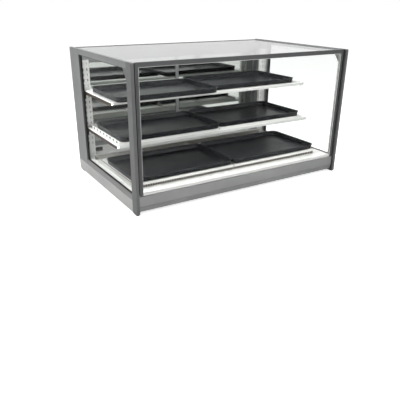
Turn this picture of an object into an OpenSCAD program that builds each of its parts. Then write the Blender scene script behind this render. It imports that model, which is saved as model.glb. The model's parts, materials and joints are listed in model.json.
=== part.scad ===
// Countertop bread display case: glass ends, top and tilting front,
// two shelves and a deck that carry six black trays, sliding doors behind.
// Millimetres. X left to right, the front faces -Y, Z up, feet on z = 0.

/* [Case] */
// Overall width across both end frames
case_w = 1219; // [1170:1:1500]
// Overall depth from the front posts to the rear posts
case_d = 762; // [757:1:920]
// Overall height from the counter
case_h = 660; // [600:1:800]

/* [End frames] */
// Thickness of the end frames, left to right
frame_t = 15; // [14:0.5:20]
// Depth of a front post
front_post_d = 46; // [38:1:56]
// Depth of a rear post
rear_post_d = 135; // [112:1:162]
// Height of an end frame's top rail
top_rail_h = 26; // [22:1:32]
// Height of an end frame's base rail
end_base_h = 90; // [76:1:108]

/* [Glass] */
// Thickness of the end, front and top glass
glass_t = 6; // [5:0.1:7.2]
// How far the end frames stand above the top glass
frame_proud = 5; // [4:0.5:6]
// Width of the black strip in front of a rear post
rear_seal_w = 16; // [13:1:20]

/* [Front sash] */
// Width of the sash stiles
stile_w = 15.5; // [13:0.5:19]
// Height of the sash top rail
sash_top_h = 19; // [16:0.5:23]
// Gap between a post and the sash
post_gap = 8.5; // [7:0.5:11]
// How far the sash sits behind the front of the posts
sash_setback = 10; // [8:0.5:14]

/* [Base] */
// Top of the front base rail above the counter
base_h = 84; // [72:1:101]
// Gap under the base rails
plinth_gap = 12; // [10:1:16]
// Height of the rear sill above the base
sill_h = 44; // [37:1:53]

/* [Rear doors] */
// Height of the rear header
header_h = 59; // [49:1:71]
// Thickness of a door frame
door_t = 10; // [8:0.5:11]
// How far the two doors overlap at the middle
door_lap = 31; // [26:1:37]
// Width of the door stiles and rails
door_stile = 20; // [16:1:24]

/* [Shelves] */
// Distance between the pilaster slots
slot_pitch = 27.5; // [23:0.5:33]
// Slot that carries the middle shelf
mid_slot = 5; // [4:1:6]
// Slot that carries the top shelf
top_slot = 12; // [10:1:13]
// Width of a pilaster
pilaster_w = 41; // [34:1:49]
// Front edge of the middle shelf behind the front of the case
mid_shelf_front = 231; // [193:1:275]
// Front edge of the top shelf behind the front of the case
top_shelf_front = 275; // [230:1:279]

/* [Trays and racks] */
// Width of a tray over its rim
tray_w = 553; // [462:1:575]
// Depth of a tray over its rim
tray_d = 352; // [294:1:358]
// Height of a tray
tray_h = 26; // [22:0.5:31]
// Height of the racks on the deck
deck_rack_h = 27; // [23:0.5:32]
// Height of the racks on the middle shelf
shelf_rack_h = 14; // [12:0.5:17]
// Front of the bottom trays behind the front of the case
bottom_tray_front = 93; // [78:1:111]

/* [Hidden] */

$fn = 32;
hw = case_w / 2;
hd = case_d / 2;
in_x = hw - frame_t;
foot_h = 5;
wall = 2.5;

// end glass, its seal and the pocket that both sit in
glass_x = hw - frame_t / 2 - 1 - glass_t / 2;
seal_side = 2;
pocket_in = glass_x - seal_side;
pocket_d = 10;
open_y0 = -hd + front_post_d;
open_y1 = hd - rear_post_d;
open_z0 = end_base_h;
open_z1 = case_h - top_rail_h;

// top glass
glass_top_z = case_h - frame_proud;
glass_low_z = glass_top_z - glass_t;

// front sash: it turns on pins near the foot of the stiles
sash_y = -hd + sash_setback;
sash_d = glass_t + 6;
sash_x = in_x - post_gap;
sash_mid = sash_y + sash_d / 2;
pin_r = 3;
pin_z = base_h + 10;
sash_foot = pin_z - 6;
sash_head = case_h - 1;
edge_h = 9;

// front top rail behind the sash
rail_y = sash_y + sash_d + 1;
rail_d = 9;
rail_h = 12;

// magnet catch between that rail and the sash
catch_x = in_x - 160;
catch_z = glass_low_z - 5;
catch_r = 3.2;

// base
base_y = sash_y;
base_d = 20;
base_back = base_y + base_d;
deck_z = base_h + 7;
deck_t = 2;
pan_t = 1.5;
rear_rail_y = hd - 21;
rear_rail_d = 18;

// rear: sill, door track and header share one depth
sill_d = 42;
sill_y = hd - sill_d;
sill_z = base_h + sill_h;
track_h = 12;
track_y = hd - 40;
groove_w = door_t + 2;
groove_in = track_y + 6;
groove_out = hd - 4 - groove_w;
groove_floor = sill_z + 3;
header_z = glass_low_z - header_h;
glide_h = 2;
door_z0 = groove_floor + glide_h;
door_z1 = header_z + 14;
door_w = in_x + door_lap / 2 - 1;
door_pane_t = 4;

// pilasters, brackets and shelves
pil_y = hd - 122;
pil_d = 20;
pil_t = 2;
slot_w = 4;
slot_h = 14;
slot_z0 = deck_z + 19.5;
slot_x = in_x - 9.5;
slot_step = 19;
slot_count = floor((case_h - 60 - slot_z0) / slot_pitch) + 1;
plate_t = 3;
lug = 11.5;
shelf_t = 2.5;
mid_z = slot_z0 + mid_slot * slot_pitch + slot_h;
top_z = slot_z0 + top_slot * slot_pitch + slot_h;
light_x = slot_x - plate_t / 2 - 1;
shelf_x = slot_x + plate_t / 2 + 2.5;
shelf_lap = 3;
bracket_h = 20;
shelf_back = pil_y - 5;
mid_y = -hd + mid_shelf_front;
top_y = -hd + top_shelf_front;
light_d = 16;
light_h = 12;

// trays lie side by side, pushed to the left
tray_x0 = -in_x + 18;
tray_gap = 2;
tray_flare = 3;
tray_lip = 3;
tray_cx = [tray_x0 + tray_w / 2, tray_x0 + tray_w * 1.5 + tray_gap];
tray_wall = 1.5;
bottom_tray_y = -hd + bottom_tray_front;
mid_tray_y = [mid_y - 21, mid_y - 4];
top_tray_y = [top_y - 40, top_y + 17];
bottom_tray_z = deck_z + deck_rack_h;
mid_tray_z = mid_z + shelf_t + shelf_rack_h;
top_tray_z = top_z + shelf_t;
rack_d = tray_d + 153;

// power supply and wires
driver_x = -in_x + 90;
driver_back = sill_y - 60;
wire_r = 2.5;
riser_x = -in_x + pilaster_w / 2;
riser_y = pil_y + pil_d / 2 + 1;

// light switches in the rear sill
switch_x = -in_x + 84;
switch_z = base_h + sill_h / 2 + 2;
rocker_w = 18;
rocker_h = 13;
rocker_step = 23;
rocker_y = sill_y + 6;
rocker_tilt = 8;

frame_c = [0.60, 0.61, 0.62];
sash_c = [0.36, 0.37, 0.38];
silver_c = [0.72, 0.72, 0.74];
white_c = [0.93, 0.93, 0.91];
black_c = [0.05, 0.05, 0.05];
glass_c = [0.80, 0.88, 0.86, 0.25];
bronze_c = [0.30, 0.20, 0.14];
lens_c = [1.0, 0.98, 0.94];
mirror_c = [0.60, 0.63, 0.61];
steel_c = [0.55, 0.56, 0.57];

// box between two corners
module span(a, b) {
  translate(a) cube(b - a);
}

// a profile drawn in Y and Z, swept along X from x0 to x1
module sweep_x(x0, x1) {
  translate([x0, 0, 0]) rotate([90, 0, 90]) linear_extrude(x1 - x0) children();
}

// a face drawn in X and Z, swept along Y from y0 to y1
module sweep_y(y0, y1) {
  translate([0, y1, 0]) rotate([90, 0, 0]) linear_extrude(y1 - y0) children();
}

module rounded(w, d, r) {
  square([w - 2 * r, d], center = true);
  square([w, d - 2 * r], center = true);
  for (x = [-1, 1], y = [-1, 1]) translate([x * (w / 2 - r), y * (d / 2 - r)]) circle(r);
}

module both_sides() {
  children();
  mirror([1, 0, 0]) children();
}

// plate w by d with rows of slots that run along its second side
module slotted(w, d, slot, pitch, rows, edge) {
  n = floor((w - 2 * edge + pitch - slot) / pitch);
  start = -(n - 1) * pitch / 2;
  row_l = (d - (rows + 1) * edge) / rows;
  difference() {
    square([w, d], center = true);
    for (i = [0:n - 1], j = [0:rows - 1])
      translate([start + i * pitch, -d / 2 + edge + row_l / 2 + j * (row_l + edge)])
        square([slot, row_l], center = true);
  }
}

// everything an end glass and its seal need inside the end frame
module end_pocket() {
  span([-pocket_in - glass_t - 2 * seal_side, open_y0 - pocket_d, open_z0 - pocket_d],
       [-pocket_in, open_y1 + pocket_d, open_z1 + pocket_d]);
}

module pin_hole(r) {
  translate([-in_x - 4, sash_mid, pin_z]) rotate([0, 90, 0]) cylinder(r = r, h = 8);
}

// fine line along the outer face of an end frame under its top edge
module top_line() {
  span([-hw - 1, -hd - 1, case_h - 4.4], [-hw + 1.2, hd + 1, case_h - 2.8]);
}

module front_post() {
  difference() {
    sweep_x(-hw, -in_x)
      polygon([[-hd, foot_h], [open_y0, foot_h], [open_y0, open_z1 - 45],
               [open_y0 + 32, open_z1 - 4], [open_y0 + 32, open_z1], [open_y0, open_z1],
               [open_y0, case_h], [-hd + 6, case_h], [-hd + 1.8, case_h - 1.8],
               [-hd, case_h - 6]]);
    end_pocket();
    span([-hw + wall, -hd + wall, foot_h - 1],
         [-in_x - wall, open_y0 - pocket_d - wall, case_h - 10]);
    pin_hole(6);
    top_line();
  }
}

module rear_post() {
  difference() {
    span([-hw, open_y1, open_z0 - 28], [-in_x, hd, open_z1]);
    end_pocket();
    span([-hw + wall, open_y1 + pocket_d + wall, open_z0 - 29],
         [-in_x - wall, hd - wall, open_z1 + 1]);
  }
}

module top_rail() {
  difference() {
    span([-hw, open_y0, open_z1], [-in_x, hd, case_h]);
    end_pocket();
    top_line();
  }
}

module base_rail() {
  difference() {
    union() {
      span([-hw, open_y0, foot_h], [-in_x, hd, open_z0 - 28]);
      sweep_y(open_y0, open_y1)
        polygon([[-hw, open_z0 - 28], [-in_x, open_z0 - 28], [-in_x, open_z0],
                 [-hw + 1.5, open_z0], [-hw + 1.5, open_z0 - 25]]);
    }
    end_pocket();
    span([-hw + wall, open_y0 + wall, foot_h - 1],
         [-in_x - wall, hd - wall, open_z0 - 32.5]);
    span([-hw - 1, open_y0 - 1, open_z0 - 30], [-hw + 2, open_y1 - 2, open_z0 - 28]);
  }
}

module end_glass() {
  span([-glass_x - glass_t, open_y0 - pocket_d + 1, open_z0 - pocket_d + 1],
       [-glass_x, open_y1 + pocket_d - 1, open_z1 + pocket_d - 1]);
}

// Sub-parts. Pieces named left are drawn, their right twins are mirrored.

module left_front_post() color(frame_c) front_post();
module left_rear_post() color(frame_c) rear_post();
module left_top_rail() color(frame_c) top_rail();
module left_base_rail() color(silver_c) base_rail();
module right_front_post() color(frame_c) mirror([1, 0, 0]) front_post();
module right_rear_post() color(frame_c) mirror([1, 0, 0]) rear_post();
module right_top_rail() color(frame_c) mirror([1, 0, 0]) top_rail();
module right_base_rail() color(silver_c) mirror([1, 0, 0]) base_rail();
module left_end_glass() color(glass_c) end_glass();
module right_end_glass() color(glass_c) mirror([1, 0, 0]) end_glass();

// rubber channel round each end glass, wide at the rear post
module end_glass_seals() color(black_c) both_sides() {
  difference() {
    end_pocket();
    end_glass();
    span([-hw - 1, open_y0 + 3, open_z0 + 3],
         [-in_x + 1, open_y1 - rear_seal_w, open_z1 - 3]);
  }
}

// hollow rail with a groove over its sloping lip, just short of the posts
module front_base_rail() color(silver_c) {
  sweep_x(-in_x + 4.5, in_x - 4.5) difference() {
    polygon([[base_y + 5, plinth_gap], [base_back, plinth_gap], [base_back, base_h],
             [base_y, base_h], [base_y, plinth_gap + 24], [base_y + 3.5, plinth_gap + 24],
             [base_y + 3.5, plinth_gap + 21.6], [base_y + 0.8, plinth_gap + 21.6]]);
    polygon([[base_y + 7.5, plinth_gap + wall], [base_back - wall, plinth_gap + wall],
             [base_back - wall, base_h - wall], [base_y + wall, base_h - wall],
             [base_y + wall, plinth_gap + 30], [base_y + 6, plinth_gap + 27.5],
             [base_y + 6, plinth_gap + 19]]);
  }
}

// ties the posts together behind the sash and carries the top glass
module front_top_rail() color(frame_c) {
  difference() {
    span([-in_x, rail_y, glass_low_z - rail_h], [in_x, rail_y + rail_d, glass_low_z]);
    both_sides() translate([-catch_x, rail_y - 1, catch_z])
      rotate([-90, 0, 0]) cylinder(r = catch_r, h = 6);
  }
}

// hollow header with one groove for each door and a lip behind the top glass
module rear_header() color(frame_c) {
  sweep_x(-in_x, in_x) difference() {
    union() {
      translate([track_y, header_z]) square([40, header_h]);
      translate([hd - 6, header_z]) square([6, header_h + glass_t + 2]);
    }
    translate([groove_in, header_z - 1]) square([groove_w, 25]);
    translate([groove_out, header_z - 1]) square([groove_w, 25]);
    translate([track_y + 3, header_z + 27]) square([34, header_h - 30]);
  }
}

// white box that holds the switches, under the door track
module rear_sill() color(white_c) {
  difference() {
    sweep_x(-in_x, in_x) difference() {
      translate([sill_y, base_h]) square([sill_d, sill_h]);
      translate([sill_y + 2, base_h + 2]) square([sill_d - 4, sill_h - 4]);
    }
    span([switch_x - 22.5, sill_y - 1, switch_z - 9], [switch_x + 22.5, sill_y + 3, switch_z + 9]);
    translate([driver_x + 10, sill_y + 10, base_h - 1]) cylinder(r = wire_r + 2, h = 4);
  }
}

module door_track() color(frame_c) {
  sweep_x(-in_x, in_x) difference() {
    translate([track_y, sill_z]) square([40, track_h]);
    translate([groove_in, groove_floor]) square([groove_w, track_h]);
    translate([groove_out, groove_floor]) square([groove_w, track_h]);
  }
}

module rear_base_rail() color(silver_c) {
  difference() {
    sweep_x(-in_x, in_x) difference() {
      translate([rear_rail_y, plinth_gap]) square([rear_rail_d, base_h - plinth_gap]);
      translate([rear_rail_y + 2.5, plinth_gap + 2.5])
        square([rear_rail_d - 5, base_h - plinth_gap - 5]);
    }
    span([-in_x + 126, rear_rail_y - 1, plinth_gap + 20],
         [-in_x + 174, hd, plinth_gap + 48]);
  }
}

module top_glass() color(glass_c)
  span([-in_x + 0.5, rail_y + 0.5, glass_low_z], [in_x - 0.5, hd - 6.5, glass_top_z]);

// bars on the end frames that carry the sides of the top glass
module top_glass_ledges() color(frame_c) both_sides()
  span([-in_x, rail_y + rail_d, glass_low_z - 6], [-in_x + 8.5, track_y, glass_low_z]);

module deck() color(white_c) {
  difference() {
    span([-in_x, base_back, deck_z - deck_t], [in_x, sill_y, deck_z]);
    translate([riser_x, riser_y, deck_z - 5]) cylinder(r = wire_r + 2, h = 10);
  }
  span([-in_x, base_back, deck_z - 31], [in_x, base_back + 2.5, deck_z - deck_t]);
}

// three tubes that carry the deck on the bottom pan
module deck_bearers() color(steel_c) for (x = [-in_x * 0.66, 0, in_x * 0.66])
  translate([x, 0, 0]) sweep_y(base_back + 8, sill_y - 8) difference() {
    translate([-12, plinth_gap + pan_t]) square([24, deck_z - deck_t - plinth_gap - pan_t]);
    translate([-10, plinth_gap + pan_t + 2])
      square([20, deck_z - deck_t - plinth_gap - pan_t - 4]);
  }

module bottom_pan() color(steel_c) sweep_x(-in_x, in_x)
  polygon([[base_back, plinth_gap], [rear_rail_y, plinth_gap], [rear_rail_y, plinth_gap + 16],
           [rear_rail_y - 2, plinth_gap + 16], [rear_rail_y - 2, plinth_gap + pan_t],
           [base_back + 2, plinth_gap + pan_t], [base_back + 2, plinth_gap + 28],
           [base_back, plinth_gap + 28]]);

// four rubber pads under the end frames
module foot_glides() color(black_c) both_sides() for (y = [-hd + 26, hd - 40])
  translate([-hw + frame_t / 2, y, 0]) linear_extrude(foot_h) rounded(frame_t - 2, 44, 5);

// slotted uprights that the brackets hook into
module pilasters() color(white_c) both_sides() {
  top = slot_z0 + (slot_count - 1) * slot_pitch + slot_h + 12;
  sweep_y(pil_y, pil_y + pil_t) difference() {
    translate([-in_x, deck_z]) square([pilaster_w, top - deck_z]);
    for (i = [0:slot_count - 1], j = [0, 1])
      translate([-slot_x - slot_w / 2 + j * slot_step, slot_z0 + i * slot_pitch])
        square([slot_w, slot_h]);
  }
  for (x = [-in_x, -in_x + pilaster_w - pil_t])
    span([x, pil_y + pil_t, deck_z], [x + pil_t, pil_y + pil_d, top]);
}

// tapered plate with two hooks and a shelf flange, top face at z
module bracket(y, z) {
  translate([-slot_x - plate_t / 2, 0, 0]) sweep_x(0, plate_t) {
    polygon([[y + 20, z - bracket_h + 5], [y + 25, z - bracket_h], [pil_y - 8, z - bracket_h],
             [pil_y - 6, z - slot_pitch - 16], [pil_y, z - slot_pitch - 16],
             [pil_y, z], [y + 20, z]]);
    for (k = [0, 1]) translate([pil_y, z - slot_h - k * slot_pitch]) {
      square([5, 10]);
      translate([2.3, -4]) square([2.7, 5]);
    }
  }
  span([-slot_x + plate_t / 2, y + 20, z - 2], [-slot_x + plate_t / 2 + lug, pil_y - 9, z]);
}

module shelf_brackets() color(bronze_c) both_sides() {
  bracket(mid_y, mid_z);
  bracket(top_y, top_z);
}

module shelf(y, z) {
  translate([0, (y + shelf_back) / 2, z])
    linear_extrude(shelf_t) slotted(2 * shelf_x, shelf_back - y, 16, 24, 3, 20);
  span([-light_x + 12, shelf_back - 2, z - 12], [light_x - 12, shelf_back, z]);
  both_sides() span([-shelf_x, y, z - shelf_lap], [-shelf_x + 2, shelf_back, z]);
}

module mid_shelf() color(white_c) shelf(mid_y, mid_z);
module top_shelf() color(white_c) shelf(top_y, top_z);

// open rack: slotted top and combed front and back, standing on its edges
module rack(w, d, h) {
  translate([0, d / 2, h - 3]) linear_extrude(3) slotted(w, d, 9.5, 14, 2, 10);
  for (y = [0, d - 3]) translate([0, 0, (h - 3) / 2])
    sweep_y(y, y + 3) slotted(w, h - 3, 9.5, 14, 1, 2.5);
  for (x = [-w / 2, w / 2 - 3]) span([x, 3, 0], [x + 3, d - 3, h - 3]);
}

module mid_racks() color(white_c) for (x = tray_cx)
  translate([x, mid_y + 2, mid_z + shelf_t])
    rack(tray_w - 2, shelf_back - mid_y - 6, shelf_rack_h);

module bottom_racks() color(white_c) for (x = tray_cx)
  translate([x, bottom_tray_y, deck_z]) rack(tray_w - 2, rack_d, deck_rack_h);

module light_channel(y, z, x1) sweep_x(-x1, x1) difference() {
  translate([y, z - light_h]) square([light_d, light_h]);
  translate([y + 1.5, z - light_h - 1]) square([light_d - 3, light_h - 0.5]);
}

module light_lens(y, z, x1) span([-x1, y + 1.5, z - light_h], [x1, y + light_d - 1.5, z - light_h + 3]);

// lights under the front edge of both shelves
module shelf_light_channels() color(white_c) {
  light_channel(mid_y, mid_z, light_x);
  light_channel(top_y, top_z, light_x);
}

module shelf_light_lenses() color(lens_c) {
  light_lens(mid_y, mid_z, light_x);
  light_lens(top_y, top_z, light_x);
}

// light on the back of the front top rail, between the ledges
module canopy_light_channel() color(white_c)
  light_channel(rail_y + rail_d, glass_low_z, in_x - 12);
module canopy_light_lens() color(lens_c)
  light_lens(rail_y + rail_d, glass_low_z, in_x - 12);

// power supply on the bottom pan, between the left end and the first bearer
module led_driver() color(steel_c)
  span([driver_x, sill_y - 240, plinth_gap + pan_t],
       [driver_x + 60, driver_back, plinth_gap + pan_t + 32]);

module wire_run(a, b) {
  d = b - a;
  translate(a) rotate([0, acos(d.z / norm(d)), atan2(d.y, d.x)]) cylinder(r = wire_r, h = norm(d));
}

module wire(points) {
  for (i = [1:len(points) - 1]) wire_run(points[i - 1], points[i]);
  for (i = [1:len(points) - 2]) translate(points[i]) sphere(wire_r + 0.6);
}

// wires from the power supply to the inlet, the switches and up a pilaster
module wire_loom() color(black_c) {
  z = plinth_gap + 26;
  wire([[driver_x + 45, driver_back, z], [driver_x + 45, driver_back + 35, z],
        [driver_x + 45, driver_back + 35, z + 4], [driver_x + 45, hd - 30, z + 4]]);
  wire([[driver_x + 10, driver_back, z], [driver_x + 10, sill_y + 10, z],
        [driver_x + 10, sill_y + 10, switch_z - 9]]);
  wire([[driver_x, sill_y - 190, z], [riser_x, sill_y - 190, z], [riser_x, riser_y, z],
        [riser_x, riser_y, top_z]]);
}

// twin bezel with a pocket and a stub axle for each rocker
module switch_housing() color(black_c) {
  difference() {
    union() {
      span([switch_x - 25, sill_y - 1.5, switch_z - 11.5], [switch_x + 25, sill_y, switch_z + 11.5]);
      span([switch_x - 22.5, sill_y, switch_z - 9], [switch_x + 22.5, sill_y + 20, switch_z + 9]);
    }
    for (s = [-1, 1]) translate([switch_x + s * rocker_step / 2, 0, switch_z])
      span([-rocker_w / 2 - 0.4, sill_y - 2, -rocker_h / 2 - 1.6],
           [rocker_w / 2 + 0.4, sill_y + 14, rocker_h / 2 + 1.6]);
  }
  for (s = [-1, 1]) translate([switch_x + s * rocker_step / 2, rocker_y, switch_z])
    rotate([0, 90, 0]) translate([0, 0, -rocker_w / 2 - 0.4]) cylinder(r = 1.5, h = rocker_w + 0.8);
}

// rocker that turns on the stub axle, drawn pressed at its top
module rocker(s) {
  translate([switch_x + s * rocker_step / 2, rocker_y, switch_z]) rotate([-rocker_tilt, 0, 0])
    difference() {
      sweep_x(-rocker_w / 2, rocker_w / 2)
        polygon([[-9, -6.5], [-7.5, 0], [-9, 6.5], [0, 6], [4, 2.5], [4, -2.5], [0, -6]]);
      rotate([0, 90, 0]) translate([0, 0, -rocker_w]) cylinder(r = 1.55, h = 2 * rocker_w);
    }
}

module shelf_light_rocker() color(black_c) rocker(-1);
module canopy_light_rocker() color(black_c) rocker(1);

// mains inlet in the rear base rail
module power_inlet() color(black_c) difference() {
  union() {
    span([-in_x + 126, hd - 30, plinth_gap + 20], [-in_x + 174, hd - 3, plinth_gap + 48]);
    span([-in_x + 122, hd - 3, plinth_gap + 16], [-in_x + 178, hd - 1.2, plinth_gap + 52]);
  }
  span([-in_x + 132, hd - 20, plinth_gap + 24], [-in_x + 168, hd, plinth_gap + 44]);
}

module header_screws() color(steel_c) both_sides() for (x = [-410, -360, -175] * case_w / 1219)
  translate([x, hd - 3, glass_top_z + 2]) cylinder(r = 2.6, h = 2.2);

// bushes in the front posts for the sash pins
module pivot_bushes() color(black_c) both_sides()
  translate([-in_x - 4, sash_mid, pin_z]) rotate([0, 90, 0]) difference() {
    cylinder(r = 6, h = 4 + post_gap - 0.8);
    translate([0, 0, -1]) cylinder(r = pin_r + 0.05, h = 20);
  }

// black rubber between the posts and the sash, and at the base rail's ends
module post_seals() color(black_c) both_sides() {
  span([-in_x, sash_y + 3, pin_z + 8], [-in_x + post_gap - 0.4, sash_y + sash_d - 2, sash_head - 2]);
  span([-in_x, base_y + 2, plinth_gap], [-in_x + 4.5, base_back - 2, base_h]);
}

module catch_magnets() color(steel_c) both_sides()
  translate([-catch_x, rail_y, catch_z]) rotate([-90, 0, 0]) cylinder(r = catch_r, h = 5);

// face of the sash set in by d all round, its foot at z0
module sash_face(d, z0, r)
  translate([0, (sash_head - d + z0) / 2]) rounded(2 * (sash_x - d), sash_head - d - z0, r);

// opening of the sash made smaller by d on its sides and top
module sash_opening(d, r)
  translate([0, (sash_head - sash_top_h - d + sash_foot - 20) / 2])
    rounded(2 * (sash_x - stile_w - d), sash_head - sash_top_h - d - sash_foot + 20, r);

module sash_pane() {
  span([-sash_x + 6, sash_mid - glass_t / 2, sash_foot + 2],
       [sash_x - 6, sash_mid + glass_t / 2, sash_head - 8]);
}

module catch_holes() both_sides()
  translate([-catch_x, sash_y + sash_d - 2, catch_z])
    rotate([-90, 0, 0]) cylinder(r = catch_r, h = 4);

module pin_bore(r) both_sides()
  translate([-sash_x - 1, sash_mid, pin_z]) rotate([0, 90, 0]) cylinder(r = r, h = 13);

// stiles and top rail in one loop, open at the bottom, a thin line in its face
module sash_frame() color(sash_c) difference() {
  sweep_y(sash_y, sash_y + sash_d) difference() {
    sash_face(0, sash_foot, 7);
    sash_opening(0, 4);
  }
  sweep_y(sash_y - 1, sash_y + 0.8) difference() {
    sash_face(4.5, sash_foot - 20, 4);
    sash_face(5.7, sash_foot - 21, 3);
  }
  sash_pane();
  catch_holes();
  pin_bore(pin_r + 0.05);
}

module front_glass() color(glass_c) difference() {
  sash_pane();
  pin_bore(pin_r + 1);
  sash_channel_void();
}

// the pane is cut short where the glazing strip wraps its lower edge
module sash_channel_void()
  span([-sash_x + stile_w, sash_mid - glass_t / 2 - 1, sash_foot - 1],
       [sash_x - stile_w, sash_mid + glass_t / 2 + 1, sash_foot + 2]);

// white strip that wraps the lower edge of the pane and lines the opening on its other sides
module sash_glazing_strip() color(white_c) {
  sweep_x(-sash_x + stile_w, sash_x - stile_w) difference() {
    translate([sash_mid - glass_t / 2 - 1.5, sash_foot]) square([glass_t + 3, edge_h]);
    translate([sash_mid - glass_t / 2, sash_foot + 2]) square([glass_t, edge_h]);
  }
  difference() {
    sweep_y(sash_y + 0.5, sash_y + sash_d - 0.5) difference() {
      sash_opening(0, 6);
      sash_opening(1.5, 4);
    }
    span([-sash_x, sash_y, sash_foot - 40], [sash_x, sash_y + sash_d, sash_foot + edge_h]);
    sash_pane();
  }
}

module pivot_pins() color(steel_c) both_sides()
  translate([-in_x - 3, sash_mid, pin_z]) rotate([0, 90, 0])
    cylinder(r = pin_r, h = post_gap + 3 + 11.5);

// steel discs in the sash that the magnets pull on
module catch_plates() color(steel_c) both_sides()
  translate([-catch_x, sash_y + sash_d - 2, catch_z])
    rotate([-90, 0, 0]) cylinder(r = catch_r, h = 2);

// frame of a rear door, its groove for the pane and its finger pull
module door_frame(x0, y0, pull_x) difference() {
  union() {
    sweep_y(y0, y0 + door_t) difference() {
      translate([x0, door_z0]) square([door_w, door_z1 - door_z0]);
      translate([x0 + door_stile, door_z0 + door_stile])
        square([door_w - 2 * door_stile, door_z1 - door_z0 - 2 * door_stile - 6]);
    }
    span([pull_x, y0 + door_t, (door_z0 + door_z1) / 2 - 60],
         [pull_x + 6, y0 + door_t + 4, (door_z0 + door_z1) / 2 + 60]);
  }
  door_pane(x0, y0);
}

module door_pane(x0, y0)
  span([x0 + door_stile - 8, y0 + (door_t - door_pane_t) / 2, door_z0 + door_stile - 8],
       [x0 + door_w - door_stile + 8, y0 + (door_t + door_pane_t) / 2, door_z1 - door_stile + 2]);

module door_glides(x0, y0) for (x = [x0 + 30, x0 + door_w - 70])
  span([x, y0 + 1, groove_floor], [x + 40, y0 + door_t - 1, door_z0]);

left_door_x = -in_x + 1;
right_door_x = in_x - 1 - door_w;
left_door_y = groove_in + 1;
right_door_y = groove_out + 1;

module left_door_frame() color(frame_c)
  door_frame(left_door_x, left_door_y, left_door_x + 7);
module left_door_pane() color(mirror_c) door_pane(left_door_x, left_door_y);
module left_door_glides() color(white_c) door_glides(left_door_x, left_door_y);
module right_door_frame() color(frame_c)
  door_frame(right_door_x, right_door_y, right_door_x + door_w - 13);
module right_door_pane() color(mirror_c) door_pane(right_door_x, right_door_y);
module right_door_glides() color(white_c) door_glides(right_door_x, right_door_y);

// tray with sloping sides and a flat rim, its front rim edge at y
module tray_block(w, d, h, r) hull() {
  translate([0, 0, h - 0.01]) linear_extrude(0.01) rounded(w, d, r);
  linear_extrude(0.01) rounded(w - 2 * tray_flare, d - 2 * tray_flare, r - tray_flare);
}

module tray(x, y, z) translate([x, y + tray_d / 2, z]) {
  w = tray_w - 2 * tray_lip;
  d = tray_d - 2 * tray_lip;
  r = 32 - tray_lip;
  difference() {
    tray_block(w, d, tray_h, r);
    translate([0, 0, tray_wall])
      tray_block(w - 2 * tray_wall, d - 2 * tray_wall, tray_h, r - tray_wall);
  }
  translate([0, 0, tray_h - 3]) linear_extrude(3) difference() {
    rounded(tray_w, tray_d, 32);
    rounded(w - 1, d - 1, r - 0.5);
  }
}

module bottom_left_tray() color(black_c) tray(tray_cx[0], bottom_tray_y, bottom_tray_z);
module bottom_right_tray() color(black_c) tray(tray_cx[1], bottom_tray_y, bottom_tray_z);
module mid_left_tray() color(black_c) tray(tray_cx[0], mid_tray_y[0], mid_tray_z);
module mid_right_tray() color(black_c) tray(tray_cx[1], mid_tray_y[1], mid_tray_z);
module top_left_tray() color(black_c) tray(tray_cx[0], top_tray_y[0], top_tray_z);
module top_right_tray() color(black_c) tray(tray_cx[1], top_tray_y[1], top_tray_z);

left_front_post();
left_rear_post();
left_top_rail();
left_base_rail();
right_front_post();
right_rear_post();
right_top_rail();
right_base_rail();
left_end_glass();
right_end_glass();
end_glass_seals();
front_base_rail();
front_top_rail();
rear_header();
rear_sill();
door_track();
rear_base_rail();
top_glass();
top_glass_ledges();
deck();
deck_bearers();
bottom_pan();
foot_glides();
pilasters();
shelf_brackets();
mid_shelf();
top_shelf();
mid_racks();
bottom_racks();
shelf_light_channels();
shelf_light_lenses();
canopy_light_channel();
canopy_light_lens();
led_driver();
wire_loom();
switch_housing();
power_inlet();
header_screws();
pivot_bushes();
post_seals();
catch_magnets();
sash_frame();
front_glass();
sash_glazing_strip();
pivot_pins();
catch_plates();
left_door_frame();
left_door_pane();
left_door_glides();
right_door_frame();
right_door_pane();
right_door_glides();
shelf_light_rocker();
canopy_light_rocker();
bottom_left_tray();
bottom_right_tray();
mid_left_tray();
mid_right_tray();
top_left_tray();
top_right_tray();
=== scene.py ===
"""Looks of the countertop bread display case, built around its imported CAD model.

Units are metres in the row frame: X to the right, the front faces -Y, Z up.
"""

import json
import math

import bmesh
import bpy
from mathutils import Matrix, Vector


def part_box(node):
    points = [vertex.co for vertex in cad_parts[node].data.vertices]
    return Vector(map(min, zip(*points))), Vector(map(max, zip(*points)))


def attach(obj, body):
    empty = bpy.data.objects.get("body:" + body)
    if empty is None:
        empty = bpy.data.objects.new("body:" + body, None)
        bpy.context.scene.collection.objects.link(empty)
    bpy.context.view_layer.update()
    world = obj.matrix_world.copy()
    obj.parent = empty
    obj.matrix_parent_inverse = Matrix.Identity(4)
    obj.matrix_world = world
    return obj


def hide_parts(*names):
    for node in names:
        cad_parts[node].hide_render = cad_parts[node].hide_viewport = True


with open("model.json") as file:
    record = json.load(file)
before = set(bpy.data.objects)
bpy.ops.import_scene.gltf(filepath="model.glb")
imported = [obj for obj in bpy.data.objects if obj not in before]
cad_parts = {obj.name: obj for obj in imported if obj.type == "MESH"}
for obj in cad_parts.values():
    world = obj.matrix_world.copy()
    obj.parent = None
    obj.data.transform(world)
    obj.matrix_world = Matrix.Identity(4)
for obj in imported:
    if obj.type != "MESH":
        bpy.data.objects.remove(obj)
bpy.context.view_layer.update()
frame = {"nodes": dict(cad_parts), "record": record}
nodes = frame["nodes"]

# the camera, solved from the photograph

CAMERA_AT = (-1.38204, -2.14794, 0.89540)
CAMERA_YAW, CAMERA_PITCH, CAMERA_ROLL = 31.892, 23.043, 0.532
# in millimetres
CAMERA_LENS, CAMERA_SENSOR = 42.728, 36


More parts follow.
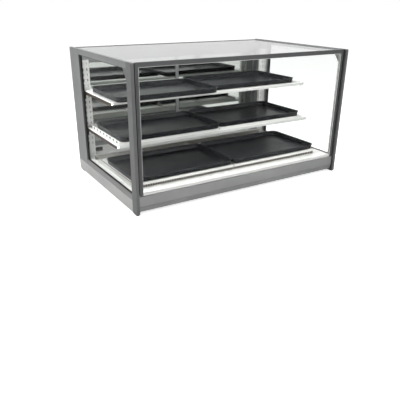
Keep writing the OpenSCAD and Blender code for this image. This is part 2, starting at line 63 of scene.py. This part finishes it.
def add_camera():
    """Puts the camera where the photograph was solved to be taken from."""
    data = bpy.data.cameras.new("photo_camera")
    data.sensor_width = CAMERA_SENSOR
    data.lens = CAMERA_LENS
    camera = bpy.data.objects.new("photo_camera", data)
    bpy.context.scene.collection.objects.link(camera)
    turn = (
        Matrix.Rotation(math.radians(-CAMERA_YAW), 4, "Z")
        @ Matrix.Rotation(math.radians(90 - CAMERA_PITCH), 4, "X")
        @ Matrix.Rotation(math.radians(CAMERA_ROLL), 4, "Z")
    )
    camera.matrix_world = Matrix.Translation(CAMERA_AT) @ turn
    bpy.context.scene.camera = camera


add_camera()

# node helpers

# sockets of a Mix node: its two inputs and its result, for colours and for numbers
COLOUR_A, COLOUR_B, COLOUR_OUT = 6, 7, 2
NUMBER_A, NUMBER_B, NUMBER_OUT = 2, 3, 0


class Nodes:
    """A material's node tree with short calls for the nodes used here."""

    def __init__(self, name):
        self.mat = bpy.data.materials.new(name)
        self.mat.use_nodes = True
        self.tree = self.mat.node_tree
        self.shader = self.tree.nodes["Principled BSDF"]
        self.out = self.tree.nodes["Material Output"]

    def add(self, kind, **values):
        """Adds a node; each value is linked to an input, fills it or sets a property."""
        node = self.tree.nodes.new(kind)
        for key, value in values.items():
            if isinstance(value, bpy.types.NodeSocket):
                self.tree.links.new(value, node.inputs[key])
            elif key in node.inputs:
                node.inputs[key].default_value = value
            else:
                setattr(node, key, value)
        return node

    def link(self, a, b):
        self.tree.links.new(a, b)

    def set(self, **values):
        """Sets or links sockets of the main shader; underscores stand for spaces."""
        for key, value in values.items():
            socket = self.shader.inputs[key.replace("_", " ")]
            if isinstance(value, bpy.types.NodeSocket):
                self.link(value, socket)
            else:
                socket.default_value = value

    def place(self, scale=(1, 1, 1)):
        """Object coordinates in metres, stretched by scale."""
        coords = self.add("ShaderNodeTexCoord")
        mapping = self.add("ShaderNodeMapping")
        mapping.inputs["Scale"].default_value = scale
        self.link(coords.outputs["Object"], mapping.inputs["Vector"])
        return mapping.outputs["Vector"]

    def noise(self, scale, stretch=(1, 1, 1), detail=3.0, roughness=0.5):
        """Noise in object coordinates, from 0 to 1."""
        node = self.add("ShaderNodeTexNoise", Scale=scale, Detail=detail, Roughness=roughness)
        self.link(self.place(stretch), node.inputs["Vector"])
        return node.outputs["Fac"]

    def spread(self, value, low, high, start=0.3, end=0.7):
        """Maps a texture value from start..end to low..high."""
        node = self.add("ShaderNodeMapRange")
        for name, number in (
            ("From Min", start),
            ("From Max", end),
            ("To Min", low),
            ("To Max", high),
        ):
            node.inputs[name].default_value = number
        self.link(value, node.inputs["Value"])
        return node.outputs["Result"]

    def ramp(self, value, stops):
        """Colours a value; each stop has its position and its colour."""
        node = self.add("ShaderNodeValToRGB")
        while len(node.color_ramp.elements) < len(stops):
            node.color_ramp.elements.new(0.5)
        for element, (position, colour) in zip(node.color_ramp.elements, stops):
            element.position = position
            element.color = (*colour, 1)
        self.link(value, node.inputs["Fac"])
        return node.outputs["Color"]

    def bump(self, height, distance, strength=1.0, under=None):
        """A normal from a height, over the bump that lies under it if there is one."""
        node = self.add("ShaderNodeBump", Strength=strength, Distance=distance)
        self.link(height, node.inputs["Height"])
        if under is not None:
            self.link(under, node.inputs["Normal"])
        return node.outputs["Normal"]


def shade(colour, factor):
    """A colour made lighter or darker."""
    return tuple(min(1.0, c * factor) for c in colour)


# materials

# how far the noise is squeezed across and along the drawing lines
ACROSS_DRAWING, ALONG_DRAWING = 260.0, 2.2
# painted shade above a given height: the share of the colour it keeps, and half the width of its
# edge
PAINTED_SHADE_SHARE, PAINTED_SHADE_EDGE = 0.56, 0.0002


def extruded_metal(name, colour, run, metallic, rough, painted_shade_above=None):
    """Satin aluminium with fine drawing lines along the run of the profile.

    Above a given height, in metres, the profile is darker: painted shade on the recessed upper
    band.
    """
    n = Nodes(name)
    stretch = [ACROSS_DRAWING] * 3
    stretch["XYZ".index(run)] = ALONG_DRAWING
    lines = n.noise(3.0, stretch, detail=4, roughness=0.65)
    clouds = n.noise(7.0, detail=2)
    tint = n.ramp(
        clouds, [(0.3, shade(colour, 0.93)), (0.55, colour), (0.75, shade(colour, 1.06))]
    )
    # painted shade: the colour turns darker above the given height
    if painted_shade_above is not None:
        height = n.add("ShaderNodeSeparateXYZ")
        n.link(n.place(), height.inputs[0])
        above = n.spread(height.outputs["Z"], 0.0, 1.0, painted_shade_above - PAINTED_SHADE_EDGE, painted_shade_above + PAINTED_SHADE_EDGE)
        painted_shade = n.add("ShaderNodeMix", data_type="RGBA")
        n.link(above, painted_shade.inputs[0])
        n.link(tint, painted_shade.inputs[COLOUR_A])
        painted_shade.inputs[COLOUR_B].default_value = (*shade(colour, PAINTED_SHADE_SHARE), 1)
        tint = painted_shade.outputs[COLOUR_OUT]
    n.set(
        Base_Color=tint,
        Metallic=metallic,
        Roughness=n.spread(lines, rough - 0.06, rough + 0.1),
        Normal=n.bump(lines, 0.00012, 0.35),
    )
    return n.mat


def powder_coat(name, colour, rough=0.3, peel=0.0002, dirt=0.94, shine=0.5):
    """Sprayed coat: slight orange peel, faint cloudy dulling; shine is its specular level."""
    n = Nodes(name)
    skin = n.noise(620.0, detail=2)
    clouds = n.noise(5.0, detail=4)
    tint = n.ramp(clouds, [(0.32, shade(colour, dirt)), (0.6, colour)])
    n.set(
        Base_Color=tint,
        Roughness=n.spread(clouds, rough + 0.1, rough - 0.05),
        Normal=n.bump(skin, peel, 0.5),
    )
    n.set(Coat_Weight=0.3 * shine, Coat_Roughness=0.12, Specular_IOR_Level=shine)
    return n.mat


def rubber(name):
    """Black rubber with a fine grain and some dust."""
    n = Nodes(name)
    grain = n.noise(1400.0, detail=2)
    dust = n.noise(30.0, detail=5)
    n.set(
        Base_Color=n.ramp(dust, [(0.35, (0.012, 0.012, 0.013)), (0.75, (0.03, 0.03, 0.031))]),
        Roughness=n.spread(dust, 0.5, 0.72),
        Normal=n.bump(grain, 0.0001, 0.6),
    )
    return n.mat


def moulded_plastic(name, colour, rough=0.35, grain=900.0, depth=0.00008):
    """Moulded plastic: pebbled skin, rubbed lighter in places."""
    n = Nodes(name)
    pebble = n.add("ShaderNodeTexVoronoi", Scale=grain)
    n.link(n.place(), pebble.inputs["Vector"])
    wear = n.noise(14.0, (1, 6, 1), detail=6, roughness=0.7)
    n.set(
        Base_Color=n.ramp(wear, [(0.4, colour), (0.78, shade(colour, 1.5))]),
        Roughness=n.spread(wear, rough, rough + 0.16, 0.45, 0.8),
        Normal=n.bump(pebble.outputs["Distance"], depth, 0.5),
    )
    return n.mat


def tray_plastic(name):
    """Black tray: satin pebble skin with light scuffs that follow the tray's length."""
    n = Nodes(name)
    pebble = n.add("ShaderNodeTexVoronoi", Scale=750.0)
    n.link(n.place(), pebble.inputs["Vector"])
    scuffs = n.noise(9.0, (3, 60, 3), detail=8, roughness=0.75)
    stains = n.noise(6.0, detail=3)
    n.set(
        Base_Color=n.ramp(
            scuffs,
            [
                (0.5, (0.006, 0.007, 0.009)),
                (0.72, (0.012, 0.013, 0.016)),
                (0.9, (0.03, 0.032, 0.038)),
            ],
        ),
        Roughness=n.spread(stains, 0.28, 0.45),
        Normal=n.bump(scuffs, 0.00003, 0.4, n.bump(pebble.outputs["Distance"], 0.00006, 0.35)),
    )
    n.set(Specular_IOR_Level=0.2)
    return n.mat


def clear_glass(name, ior, tint=(0.985, 0.996, 0.99)):
    """Clear pane that lets lamp light through, with faint wiping marks."""
    n = Nodes(name)
    marks = n.noise(5.0, (1, 5, 2), detail=5, roughness=0.7)
    n.set(
        Base_Color=(*tint, 1),
        Roughness=n.spread(marks, 0.0, 0.02, 0.5, 0.85),
        Transmission_Weight=1.0,
        IOR=ior,
    )
    path = n.add("ShaderNodeLightPath")
    through = n.add("ShaderNodeBsdfTransparent")
    through.inputs["Color"].default_value = (*shade(tint, 0.97), 1)
    mix = n.add("ShaderNodeMixShader")
    n.link(path.outputs["Is Shadow Ray"], mix.inputs[0])
    n.link(n.shader.outputs[0], mix.inputs[1])
    n.link(through.outputs[0], mix.inputs[2])
    n.link(mix.outputs[0], n.out.inputs["Surface"])
    return n.mat


def mirror_glass(name, colour):
    """Grey mirror of the rear doors, with faint wiping marks."""
    n = Nodes(name)
    marks = n.noise(4.0, (1, 1, 4), detail=5, roughness=0.7)
    n.set(
        Base_Color=n.ramp(marks, [(0.35, shade(colour, 0.94)), (0.7, colour)]),
        Metallic=1.0,
        Roughness=n.spread(marks, 0.02, 0.09),
    )
    return n.mat


DIODE_PITCH = 0.025


def light_lens(name, strength):
    """Opal diffuser, a little brighter in front of each diode."""
    n = Nodes(name)
    split = n.add("ShaderNodeSeparateXYZ")
    n.link(n.place((1 / DIODE_PITCH, 1, 1)), split.inputs[0])
    # 0 at one diode, 0.5 halfway to the next, 0 again at that one
    wave = n.add("ShaderNodeMath", operation="PINGPONG")
    n.link(split.outputs["X"], wave.inputs[0])
    wave.inputs[1].default_value = 0.5
    glow = n.ramp(wave.outputs[0], [(0.0, (1.0, 0.97, 0.92)), (1.0, (0.86, 0.84, 0.8))])
    n.set(
        Base_Color=(0.9, 0.9, 0.88, 1),
        Roughness=0.4,
        Emission_Color=glow,
        Emission_Strength=strength,
    )
    return n.mat


def zinc_plate(name):
    """Zinc-plated steel: faint crystal cells and streaks."""
    n = Nodes(name)
    cells = n.add("ShaderNodeTexVoronoi", Scale=70.0)
    n.link(n.place(), cells.inputs["Vector"])
    streaks = n.noise(20.0, (1, 4, 1), detail=4)
    n.set(
        Base_Color=n.ramp(
            cells.outputs["Distance"], [(0.1, (0.5, 0.51, 0.52)), (0.7, (0.62, 0.63, 0.64))]
        ),
        Metallic=1.0,
        Roughness=n.spread(streaks, 0.28, 0.46),
        Normal=n.bump(streaks, 0.0001, 0.3),
    )
    return n.mat


FRAME = (0.33, 0.335, 0.34)
# painted shade: a darker copy of the frame grey for the front posts, whose front faces lie in
# shade
FRAME_GREY_SHADED = (0.215, 0.218, 0.222)
SASH = (0.15, 0.155, 0.157)
SILVER = (0.45, 0.455, 0.46)
# painted light: a lighter copy of the base silver for the end base rails, whose sides are seen
# lit
END_SILVER_LIT = (0.6, 0.6, 0.6)
WHITE = (0.86, 0.86, 0.84)
RACK_WHITE = (0.78, 0.78, 0.76)
CHANNEL_WHITE = (0.62, 0.62, 0.61)
# bronze coat, also used by the racks' dark bars of painted shade
BRONZE = (0.048, 0.027, 0.016)
# painted shade: a darker copy of the bronze for the shelf brackets, against the strong lamp light
# on their sides
BRONZE_SHADED_FOR_BRACKETS = (0.024, 0.013, 0.007)
MIRROR = (0.56, 0.58, 0.56)
# height, in metres, above which the end base rails get painted shade
END_RAIL_SHADE_ABOVE = 0.0615
LENS_GLOW = 11.0

METAL = {
    (slot, run): extruded_metal(f"{slot}_{run}", colour, run, metallic, rough)
    for slot, colour, metallic, rough in (
        ("frame_grey", FRAME, 0.55, 0.4),
        ("sash_grey", SASH, 0.5, 0.38),
        ("base_silver", SILVER, 0.55, 0.38),
    )
    for run in "XYZ"
}
LOOKS = {
    "clear_glass": clear_glass("clear_glass", ior=1.13),
    "black_rubber": rubber("black_rubber"),
    "white_coat": powder_coat("white_coat", WHITE, rough=0.22),
    "rack_white": powder_coat("rack_white", RACK_WHITE, rough=0.34, peel=0.0003, dirt=0.9),
    "bracket_bronze": powder_coat("bracket_bronze", BRONZE, rough=0.4, dirt=0.8, shine=0.2),
    "light_lens": light_lens("light_lens", LENS_GLOW),
    "zinc_steel": zinc_plate("zinc_steel"),
    "black_plastic": moulded_plastic("black_plastic", (0.014, 0.014, 0.015)),
    "nylon_white": moulded_plastic("nylon_white", (0.72, 0.72, 0.69), rough=0.45),
    "door_mirror": mirror_glass("door_mirror", MIRROR),
    "white_vinyl": moulded_plastic("white_vinyl", (0.84, 0.84, 0.82), rough=0.3),
    "tray_black": tray_plastic("tray_black"),
}
RUNS_X = "front_top_rail rear_header door_track front_base_rail rear_base_rail".split()
RUNS_Y = "left_top_rail right_top_rail left_base_rail right_base_rail top_glass_ledges".split()

# nodes whose look differs from the rest of their slot; the lower the index of refraction,
# the less a pane mirrors
NODE_LOOKS = {
    node: look
    for owners, look in (
        ("top_glass", clear_glass("top_glass", ior=1.46)),
        ("left_end_glass right_end_glass", clear_glass("end_glass", ior=1.05)),
        # front posts: a darker copy of the frame grey, painted shade
        (
            "left_front_post right_front_post",
            extruded_metal("front_post", FRAME_GREY_SHADED, "Z", metallic=0.5, rough=0.4),
        ),
        # shelf brackets: a darker copy of the bronze coat, painted shade
        (
            "shelf_brackets",
            powder_coat("bracket_bronze_shaded", BRONZE_SHADED_FOR_BRACKETS, rough=0.45, dirt=0.8, shine=0.1),
        ),
        ("shelf_light_channels", powder_coat("channel_white", CHANNEL_WHITE, rough=0.3)),
        # end base rails: painted light in a lighter copy of the base silver, and painted shade on
        # the upper band
        (
            "left_base_rail right_base_rail",
            extruded_metal("end_base_rail_painted_light_and_shade", END_SILVER_LIT, "Y", 0.5, 0.4, END_RAIL_SHADE_ABOVE),
        ),
    )
    for node in owners.split()
}


def run_of(node):
    """The axis along which a node's profile was drawn."""
    return "X" if node in RUNS_X else "Y" if node in RUNS_Y else "Z"


EDGE_ROUND, EDGE_ANGLE = 0.0008, 40
UNROUNDED = ("clear_glass", "door_mirror", "light_lens")


def finish_cad_nodes():
    """Gives every CAD node its procedural material, and its hard edges a small round."""
    for sub in frame["record"]["subparts"]:
        name, slot = sub["node"], sub["material_slot"]
        mat = NODE_LOOKS.get(name) or METAL.get((slot, run_of(name))) or LOOKS[slot]
        obj = nodes[name]
        obj.data.materials.clear()
        obj.data.materials.append(mat)
        if slot in UNROUNDED:
            continue
        bevel = obj.modifiers.new("edge_round", "BEVEL")
        bevel.width = EDGE_ROUND
        bevel.segments = 2
        bevel.limit_method = "ANGLE"
        bevel.angle_limit = math.radians(EDGE_ANGLE)


finish_cad_nodes()

# mesh helpers


def new_piece(name, bm, slot, body, smooth=True):
    """Turns a bmesh into a piece with its slot's look that moves with a body."""
    mesh = bpy.data.meshes.new(name)
    bmesh.ops.recalc_face_normals(bm, faces=bm.faces)
    bm.to_mesh(mesh)
    bm.free()
    obj = bpy.data.objects.new(name, mesh)
    bpy.context.scene.collection.objects.link(obj)
    mesh.materials.append(LOOKS[slot])
    if smooth:
        mesh.polygons.foreach_set("use_smooth", [True] * len(mesh.polygons))
    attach(obj, body)
    return obj


def rounded_ring(width, depth, radius, steps=10):
    """Points round a rectangle with round corners, centred on the origin."""
    points = []
    for i, (sx, sy) in enumerate(((1, 1), (-1, 1), (-1, -1), (1, -1))):
        cx, cy = sx * (width / 2 - radius), sy * (depth / 2 - radius)
        for k in range(steps + 1):
            a = math.radians(90 * i + 90 * k / steps)
            points.append((cx + radius * math.cos(a), cy + radius * math.sin(a)))
    return points


def loft(bm, rings):
    """Joins equal rings of points with faces and returns their vertices."""
    made = [[bm.verts.new(p) for p in ring] for ring in rings]
    for a, b in zip(made, made[1:]):
        for i in range(len(a)):
            j = (i + 1) % len(a)
            bm.faces.new((a[i], a[j], b[j], b[i]))
    return made


def add_tube(bm, points, radius, sides=8):
    """A round wire along points, closed at both ends."""
    points = [Vector(p) for p in points]
    rings = []
    for i, p in enumerate(points):
        before = points[max(i - 1, 0)]
        after = points[min(i + 1, len(points) - 1)]
        along = (after - before).normalized()
        side = along.orthogonal().normalized() if not rings else side
        side = (side - along * side.dot(along)).normalized()
        other = along.cross(side)
        rings.append(
            [
                p + radius * (math.cos(t) * side + math.sin(t) * other)
                for t in (2 * math.pi * k / sides for k in range(sides))
            ]
        )
    made = loft(bm, rings)
    bm.faces.new(made[0])
    bm.faces.new(list(reversed(made[-1])))


# trays

RIM_RADIUS = 0.032
# inset from the rim's edge and height, from under the floor round the rim to the top of the floor
TRAY_PROFILE = (
    (0.0140, 0.0008),
    (0.0125, 0.0003),
    (0.0085, 0.0003),
    (0.0070, 0.0007),
    (0.0062, 0.0016),
    (0.0036, 0.0222),
    (0.0033, 0.0228),
    (0.0028, 0.0231),
    (0.0008, 0.0231),
    (0.0002, 0.0234),
    (0.0, 0.0242),
    (0.0002, 0.0252),
    (0.0010, 0.0259),
    (0.0020, 0.0260),
    (0.0030, 0.0260),
    (0.0040, 0.0257),
    (0.0047, 0.0248),
    (0.0052, 0.0215),
    (0.0078, 0.0046),
    (0.0088, 0.0030),
    (0.0106, 0.0019),
    (0.0130, 0.0016),
    (0.0220, 0.0016),
)


def add_tray(node):
    """A thin moulded tray with a rolled rim, in place of its plain CAD solid."""
    low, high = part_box(node)
    width, depth = high.x - low.x, high.y - low.y
    cx, cy = (low.x + high.x) / 2, (low.y + high.y) / 2
    bm = bmesh.new()
    rings = []
    for inset, z in TRAY_PROFILE:
        ring = rounded_ring(width - 2 * inset, depth - 2 * inset, RIM_RADIUS - inset)
        rings.append([(cx + x, cy + y, low.z + z) for x, y in ring])
    made = loft(bm, rings)
    bm.faces.new(made[0])
    bm.faces.new(list(reversed(made[-1])))
    tray = new_piece(f"{node}_moulding", bm, "tray_black", f"{node}_body")
    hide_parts(node)


for level in ("bottom", "mid", "top"):
    for side in ("left", "right"):
        add_tray(f"{level}_{side}_tray")

# racks

# radii of the wires, cross rods, thin side rods and side wires
WIRE, ROD, THIN_ROD, SIDE_WIRE = 0.0014, 0.0023, 0.0014, 0.0012
WIRE_PITCH, BEND = 0.0125, 0.005
SIDE_PITCH, TOOTH_PITCH, TOOTH_SHARE = 0.025, 0.043, 0.48
# thickness of the face bars, the dark bars of painted shade and the side combs
BAR, SHADE_BAR, COMB = 0.0022, 0.0025, 0.0020
# rounding of the bars' and the combs' edges
BAR_EASE, COMB_EASE = 0.0006, 0.0004
# bays between a rack's cross rods, and the gap between its node's two racks
ROD_BAYS, RACK_GAP = 5, 0.004
# how far under a rack's top: the tops of face bars and combs, the middle of the side rods,
# the underside of the combs' strip, the tops of its teeth and of the side wires
TOP_DROP, ROD_DROP, STRIP_DROP, LEG_DROP = 0.0006, 0.0030, 0.0040, 0.0045
SIDE_WIRE_FOOT = 0.003
# how far in from a rack's sides or ends: thin side rods, cross rods' ends, the ends of combs
# and foot rods, the ends of the side bars of painted shade and of outer teeth, the faces of those
# side bars
SIDE_IN, ROD_END_IN, END_IN, SHADE_BAR_AND_TOOTH_END_IN, SIDE_SHADE_IN = 0.0015, 0.003, 0.006, 0.008, 0.0026


def add_wires(bm, x0, x1, y0, y1, z0, z1):
    """Welded wires front to back, turned down behind the face bars at both ends."""
    n = int((x1 - x0 - 2 * ROD) / WIRE_PITCH)
    step = (x1 - x0 - 2 * ROD - 2 * WIRE) / n
    top, foot = z1 - WIRE, z0 + WIRE
    bend = min(BEND, (top - foot) / 2)
    front, back = y0 + BAR + WIRE, y1 - BAR - WIRE
    for i in range(n + 1):
        x = x0 + ROD + WIRE + i * step
        half = [(front, foot), (front, top - bend)]
        for k in range(1, 4):
            a = math.radians(30 * k)
            half.append((front + bend * (1 - math.cos(a)), top - bend * (1 - math.sin(a))))
        path = half + [(front + back - y, z) for y, z in reversed(half)]
        add_tube(bm, [(x, y, z) for y, z in path], WIRE, 6)


def add_bar(bm, low, high, ease=BAR_EASE):
    """A flat bar with eased edges between two corners."""
    made = bmesh.ops.create_cube(bm, size=1.0)["verts"]
    for v in made:
        v.co = Vector(b if c > 0 else a for c, a, b in zip(v.co, low, high))
    edges = list({e for v in made for e in v.link_edges})
    bmesh.ops.bevel(bm, geom=edges, offset=ease, segments=2, affect="EDGES", profile=0.6)


def add_face_bars(bm, x0, x1, y0, y1, z0, z1):
    """White flat bars over the wire ends, front and back, and cross rods under the wires."""
    for y in (y0, y1 - BAR):
        add_bar(bm, (x0, y, z0), (x1, y + BAR, z1 - TOP_DROP))
    level = z1 - 2 * WIRE - ROD
    for k in range(1, ROD_BAYS):
        y = y0 + (y1 - y0) * k / ROD_BAYS
        add_tube(bm, [(x0 + ROD_END_IN, y, level), (x1 - ROD_END_IN, y, level)], ROD)


def add_painted_shade_bars(bm, x0, x1, y0, y1, z0, z1):
    """Painted shade: dark bars on edge behind the turned-down wires, where the space under the
    tray lies in shade, and a rod along each side's top.
    """
    near = BAR + 2 * WIRE
    level = z1 - ROD_DROP
    for y in (y0 + near, y1 - near - SHADE_BAR):
        add_bar(bm, (x0, y, z0), (x1, y + SHADE_BAR, z1 - 2 * WIRE))
    for x in (x0 + SIDE_IN, x1 - SIDE_IN):
        add_tube(bm, [(x, y0 + near, level), (x, y1 - near, level)], THIN_ROD)


def add_side_shade_bars(bm, x0, x1, y0, y1, z0, z1):
    """Painted shade: dark bars on edge inside the side combs, so the gaps between the teeth read
    as shade.
    """
    for x in (x0 + SIDE_SHADE_IN, x1 - SIDE_SHADE_IN - COMB):
        add_bar(bm, (x, y0 + SHADE_BAR_AND_TOOTH_END_IN, z0), (x + COMB, y1 - SHADE_BAR_AND_TOOTH_END_IN, z1 - 2 * WIRE))


def add_side_wires(bm, x0, x1, y0, y1, z0, z1):
    """Upright wires down each side, on a foot rod."""
    n = int((y1 - y0) / SIDE_PITCH)
    foot = z0 + THIN_ROD
    for x in (x0 + SIDE_IN, x1 - SIDE_IN):
        for i in range(1, n):
            y = y0 + (y1 - y0) * i / n
            add_tube(bm, [(x, y, z0 + SIDE_WIRE_FOOT), (x, y, z1 - LEG_DROP)], SIDE_WIRE, 6)
        add_tube(bm, [(x, y0 + END_IN, foot), (x, y1 - END_IN, foot)], THIN_ROD)


def add_side_combs(bm, x0, x1, y0, y1, z0, z1):
    """Flat bars down each side that stand on broad teeth."""
    n = round((y1 - y0) / TOOTH_PITCH)
    tooth = TOOTH_PITCH * TOOTH_SHARE
    for x in (x0, x1 - COMB):
        strip = (x, y0 + END_IN, z1 - STRIP_DROP), (x + COMB, y1 - END_IN, z1 - TOP_DROP)
        add_bar(bm, *strip, COMB_EASE)
        for i in range(n):
            y = y0 + SHADE_BAR_AND_TOOTH_END_IN + (y1 - y0 - 2 * SHADE_BAR_AND_TOOTH_END_IN) * i / n
            add_bar(bm, (x, y, z0), (x + COMB, y + tooth, z1 - LEG_DROP), COMB_EASE)


def add_racks(node, pieces):
    """Builds a node's two racks, which lie side by side in X.

    Each piece has its name's ending, its slot and the functions that make its parts. Each of
    these starts at a share of the rack's height.
    """
    low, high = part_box(node)
    middle = (low.x + high.x) / 2
    spans = (low.x, middle - RACK_GAP / 2), (middle + RACK_GAP / 2, high.x)
    for suffix, slot, parts in pieces:
        bm = bmesh.new()
        for x0, x1 in spans:
            for part, share in parts:
                part(bm, x0, x1, low.y, high.y, low.z + share * (high.z - low.z), high.z)
        piece = new_piece(f"{node}_{suffix}", bm, slot, "case", smooth=suffix == "wires")
        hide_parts(node)


add_racks(
    "bottom_racks",
    (
        ("wires", "rack_white", ((add_wires, 0.0), (add_side_wires, 0.0))),
        ("face_bars", "rack_white", ((add_face_bars, 0.5),)),
        # painted shade: dark bars in the bronze coat behind the turned-down wires
        ("painted_shade_bars", "bracket_bronze", ((add_painted_shade_bars, 0.0),)),
    ),
)
add_racks(
    "mid_racks",
    (
        ("wires", "rack_white", ((add_wires, 0.0),)),
        ("face_bars", "rack_white", ((add_face_bars, 0.0), (add_side_combs, 0.0))),
        # painted shade: dark bars in the bronze coat inside the side combs
        ("painted_shade_bars", "bracket_bronze", ((add_side_shade_bars, 0.0),)),
    ),
)

# screws

# distances of the screws from the middle, the same on both sides
SCREW_PLACES = (0.410, 0.360, 0.175)
# shares of the head's radius and height, from its seat to its crown
HEAD_PROFILE = ((1, 0), (1, 0.35), (0.92, 0.7), (0.7, 0.92), (0.52, 1.0))
SOCKET_RADIUS, SOCKET_RIM, SOCKET_FLOOR = 0.45, 0.97, 0.4


def add_screw_heads():
    """Pan heads with a hexagon socket along the rear header."""
    low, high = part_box("header_screws")
    radius, height = (high.y - low.y) / 2, high.z - low.z
    cy = (low.y + high.y) / 2
    bm = bmesh.new()
    for x in SCREW_PLACES:
        for side in (-1, 1):
            rings = []
            for share, z in HEAD_PROFILE:
                r = share * radius
                rings.append(
                    [
                        (side * x + r * math.cos(t), cy + r * math.sin(t), low.z + z * height)
                        for t in (math.radians(10 * k) for k in range(36))
                    ]
                )
            # a hexagon with six points on each corner, as many as a round ring has
            r = SOCKET_RADIUS * radius
            socket = [
                (side * x + r * math.cos(t), cy + r * math.sin(t))
                for t in (math.radians(60 * (k // 6)) for k in range(36))
            ]
            for share in (SOCKET_RIM, SOCKET_FLOOR):
                rings.append([(px, py, low.z + share * height) for px, py in socket])
            made = loft(bm, rings)
            bm.faces.new(made[0])
    bmesh.ops.remove_doubles(bm, verts=bm.verts, dist=1e-6)
    heads = new_piece("header_screw_heads", bm, "zinc_steel", "case", smooth=False)
    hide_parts("header_screws")


add_screw_heads()

# studio


def direct_view(tree, names=("Is Camera Ray", "Is Glossy Ray", "Is Transmission Ray")):
    """1 for the rays of Light Path by which a background is seen, 0 for the rest."""
    path = tree.nodes.new("ShaderNodeLightPath")
    seen = path.outputs[names[0]]
    for name in names[1:]:
        most = tree.nodes.new("ShaderNodeMath")
        most.operation = "MAXIMUM"
        tree.links.new(seen, most.inputs[0])
        tree.links.new(path.outputs[name], most.inputs[1])
        seen = most.outputs[0]
    return seen


FLOOR_SIZE, FLOOR_DROP = 60, 0.0005
# glow where the floor is seen and where it is mirrored, and its tone by itself and mirrored
FLOOR_LIFT, FLOOR_MIRRORED = 0.74, 0.06
FLOOR_TONE, FLOOR_TONE_MIRRORED = (0.8, 0.8, 0.79, 1), (0.42, 0.42, 0.41, 1)


def add_floor():
    """Pale floor, lifted to white where it is seen, that keeps the object's shadow."""
    bm = bmesh.new()
    bmesh.ops.create_grid(bm, x_segments=1, y_segments=1, size=FLOOR_SIZE)
    mesh = bpy.data.meshes.new("studio_floor")
    bm.to_mesh(mesh)
    bm.free()
    floor = bpy.data.objects.new("studio_floor", mesh)
    floor.location.z = -FLOOR_DROP
    bpy.context.scene.collection.objects.link(floor)
    n = Nodes("studio_floor")
    lift = n.add("ShaderNodeMapRange")
    lift.inputs["To Max"].default_value = FLOOR_LIFT
    n.link(direct_view(n.tree, ("Is Camera Ray", "Is Transmission Ray")), lift.inputs["Value"])
    mirrored = n.add("ShaderNodeMath", operation="MULTIPLY_ADD")
    n.link(direct_view(n.tree, ("Is Glossy Ray",)), mirrored.inputs[0])
    mirrored.inputs[1].default_value = FLOOR_MIRRORED
    n.link(lift.outputs["Result"], mirrored.inputs[2])
    tone = n.add("ShaderNodeMix", data_type="RGBA")
    n.link(direct_view(n.tree, ("Is Glossy Ray",)), tone.inputs[0])
    tone.inputs[COLOUR_A].default_value = FLOOR_TONE
    tone.inputs[COLOUR_B].default_value = FLOOR_TONE_MIRRORED
    n.set(
        Base_Color=tone.outputs[COLOUR_OUT],
        Roughness=0.9,
        Specular_IOR_Level=0.0,
        Emission_Color=(1, 1, 1, 1),
        Emission_Strength=mirrored.outputs[0],
    )
    mesh.materials.append(n.mat)


# strength of the sky in mirror images, in front and behind, and of its light
SKY_FRONT, SKY_REAR, SKY_LIGHT = 0.3, 0.85, 0.42


def add_world():
    """White where it is seen; reflections find it dimmer on the viewer's side."""
    world = bpy.data.worlds.new("studio")
    bpy.context.scene.world = world
    world.use_nodes = True
    tree = world.node_tree
    sky = tree.nodes["Background"]
    sky.inputs["Color"].default_value = (1, 1, 1, 1)
    coords = tree.nodes.new("ShaderNodeTexCoord")
    split = tree.nodes.new("ShaderNodeSeparateXYZ")
    tree.links.new(coords.outputs["Generated"], split.inputs[0])
    mirrored = tree.nodes.new("ShaderNodeMapRange")
    for name, number in (
        ("From Min", -0.75),
        ("From Max", 0.25),
        ("To Min", SKY_FRONT),
        ("To Max", SKY_REAR),
    ):
        mirrored.inputs[name].default_value = number
    tree.links.new(split.outputs["Y"], mirrored.inputs["Value"])
    seen = tree.nodes.new("ShaderNodeMix")
    tree.links.new(direct_view(tree, ("Is Camera Ray", "Is Transmission Ray")), seen.inputs[0])
    tree.links.new(mirrored.outputs["Result"], seen.inputs[NUMBER_A])
    seen.inputs[NUMBER_B].default_value = 1.0
    level = tree.nodes.new("ShaderNodeMix")
    tree.links.new(direct_view(tree), level.inputs[0])
    level.inputs[NUMBER_A].default_value = SKY_LIGHT
    tree.links.new(seen.outputs[NUMBER_OUT], level.inputs[NUMBER_B])
    tree.links.new(level.outputs[NUMBER_OUT], sky.inputs["Strength"])


def add_softbox(name, at, size, energy, look=(0, 0, 0.3)):
    """A rectangular lamp turned towards a point."""
    data = bpy.data.lights.new(name, "AREA")
    data.shape = "RECTANGLE"
    data.size, data.size_y = size
    data.energy = energy
    lamp = bpy.data.objects.new(name, data)
    bpy.context.scene.collection.objects.link(lamp)
    lamp.location = at
    lamp.rotation_euler = (Vector(look) - Vector(at)).to_track_quat("-Z", "Y").to_euler()


add_floor()
add_world()
add_softbox("key_left", at=(-3.0, 0.9, 1.9), size=(2.2, 1.8), energy=62)
add_softbox("fill_front", at=(1.0, -3.6, 1.8), size=(2.6, 1.8), energy=32)
add_softbox("top_soft", at=(0.2, 0.4, 3.4), size=(2.6, 2.6), energy=45)
bpy.context.scene.view_settings.view_transform = "Standard"
